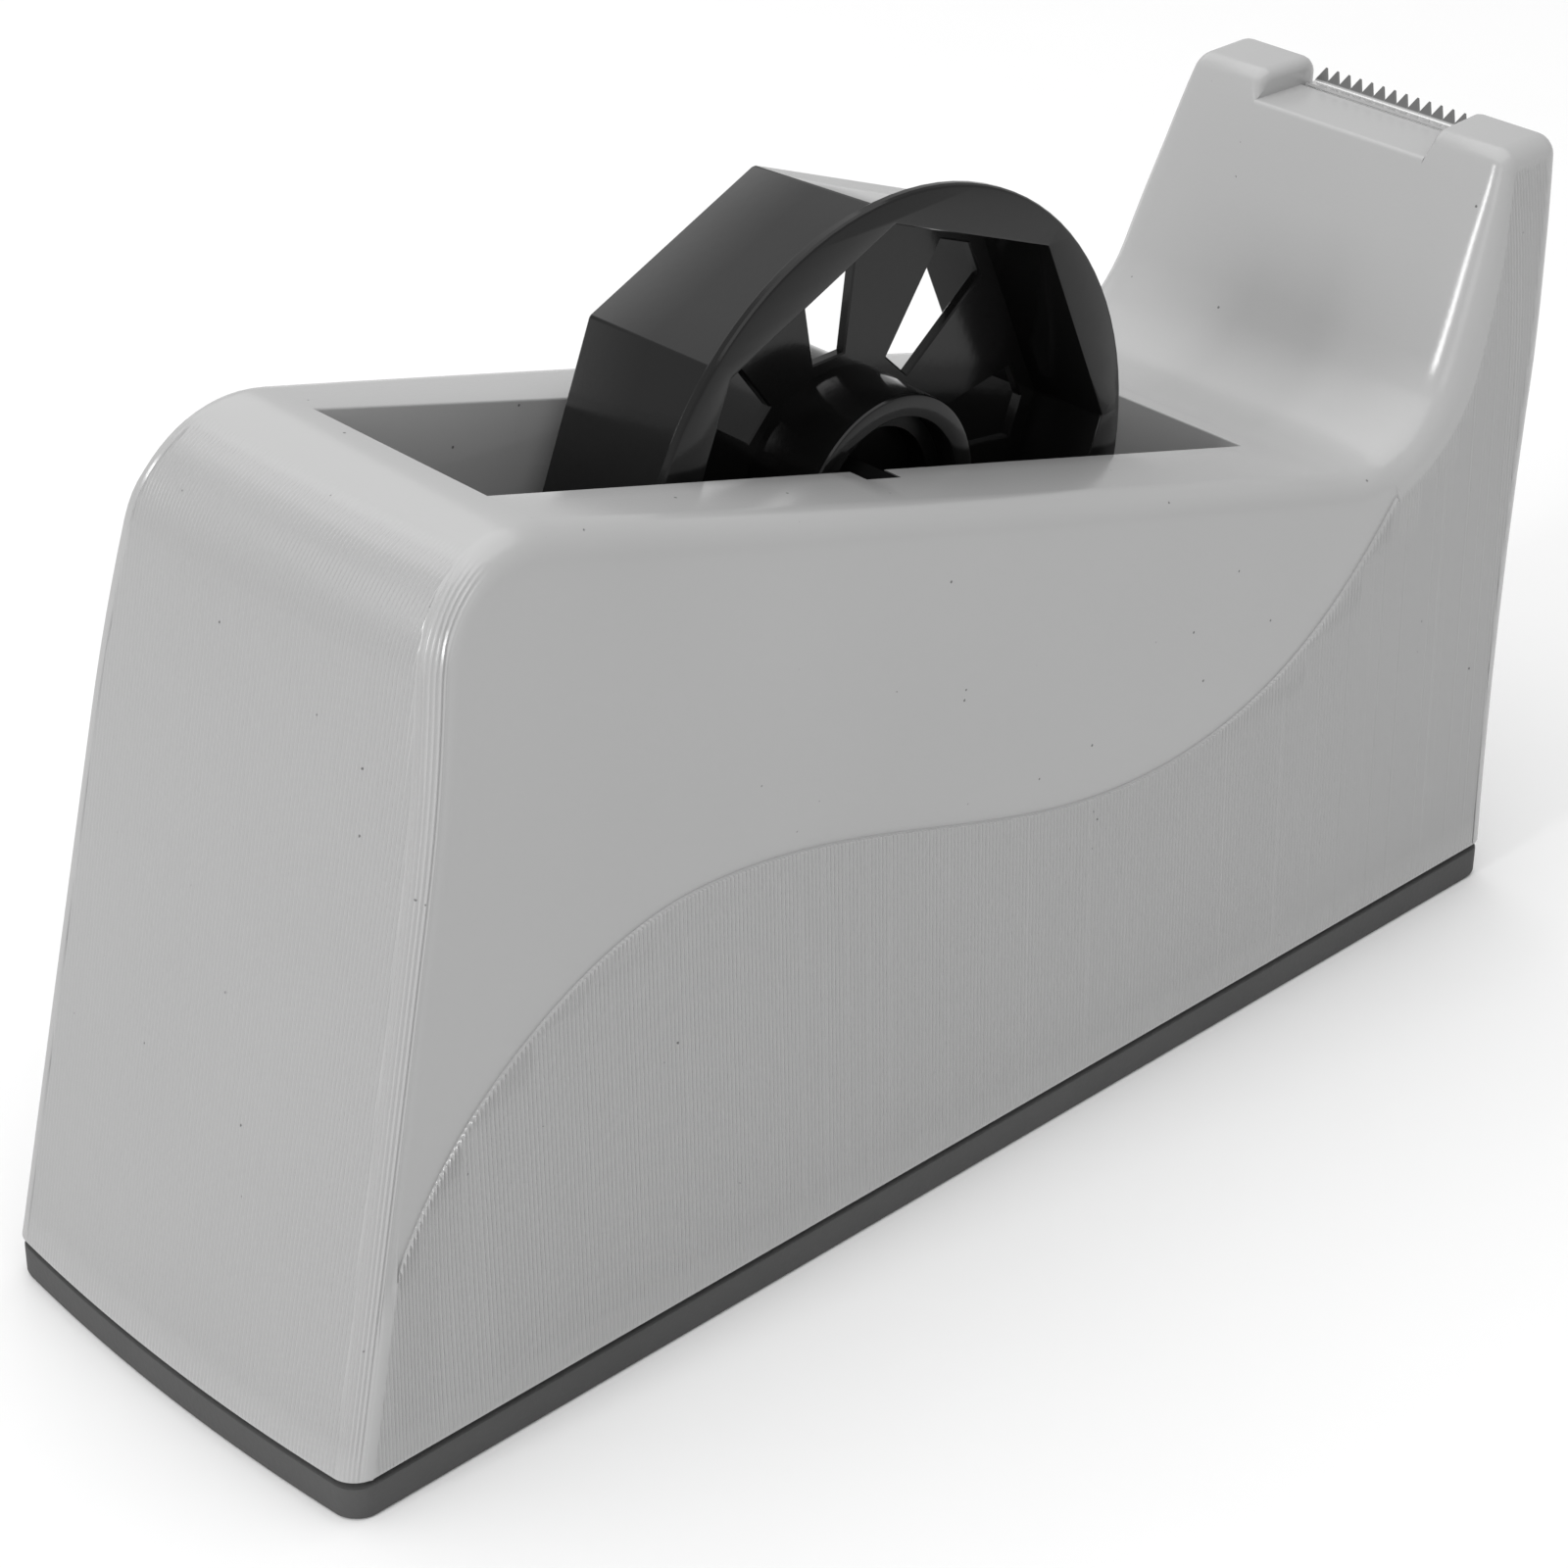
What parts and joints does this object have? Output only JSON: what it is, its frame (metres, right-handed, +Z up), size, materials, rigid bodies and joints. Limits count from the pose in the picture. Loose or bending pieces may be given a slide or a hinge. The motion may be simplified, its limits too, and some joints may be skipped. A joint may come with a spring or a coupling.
{
  "type": "desk tape dispenser",
  "caption": "Weighted desk tape dispenser: tapered shell with an open well, an eight-sided core drum on a lift-out spindle, and a serrated blade between two nose posts.",
  "frame": {"origin": "centre of the shell's footprint, on the underside of the base pad", "axes": "+X from the tail towards the nose and blade, +Y across the tape towards the drum's open end, +Z up"},
  "size_m": [0.2108, 0.0648, 0.1227],
  "materials": {
    "shell_plastic": "satin moulded, fine vertical ribs on the tail and flanks",
    "black_plastic": "glossy moulded",
    "blade_steel": "bright rolled strip",
    "plate_steel": "dull zinc plate",
    "screw_steel": "zinc plated",
    "ballast_iron": "rough cast",
    "pad_rubber": "matte, fine-grained"
  },
  "bodies": {
    "base": {"shell": "shell_plastic", "base_plate": "plate_steel", "base_pad": "pad_rubber", "base_screws": "screw_steel", "tail_ballast": "ballast_iron", "nose_ballast": "ballast_iron", "ballast_bolts": "screw_steel", "blade": "blade_steel", "blade_clamp": "plate_steel", "blade_screws": "screw_steel"},
    "spindle": {"spindle": "black_plastic"},
    "drum": {"drum": "black_plastic"}
  },
  "joints": [
    {"name": "spindle_lift", "type": "slide", "parent": "base", "child": "spindle", "axis": [-0.6293, 0, 0.7771], "range_m": [0, 0.03]},
    {"name": "drum_spin", "type": "hinge", "parent": "spindle", "child": "drum", "pos_m": [0.0006, 0, 0.083], "axis": [0, 1, 0], "continuous": true}
  ]
}
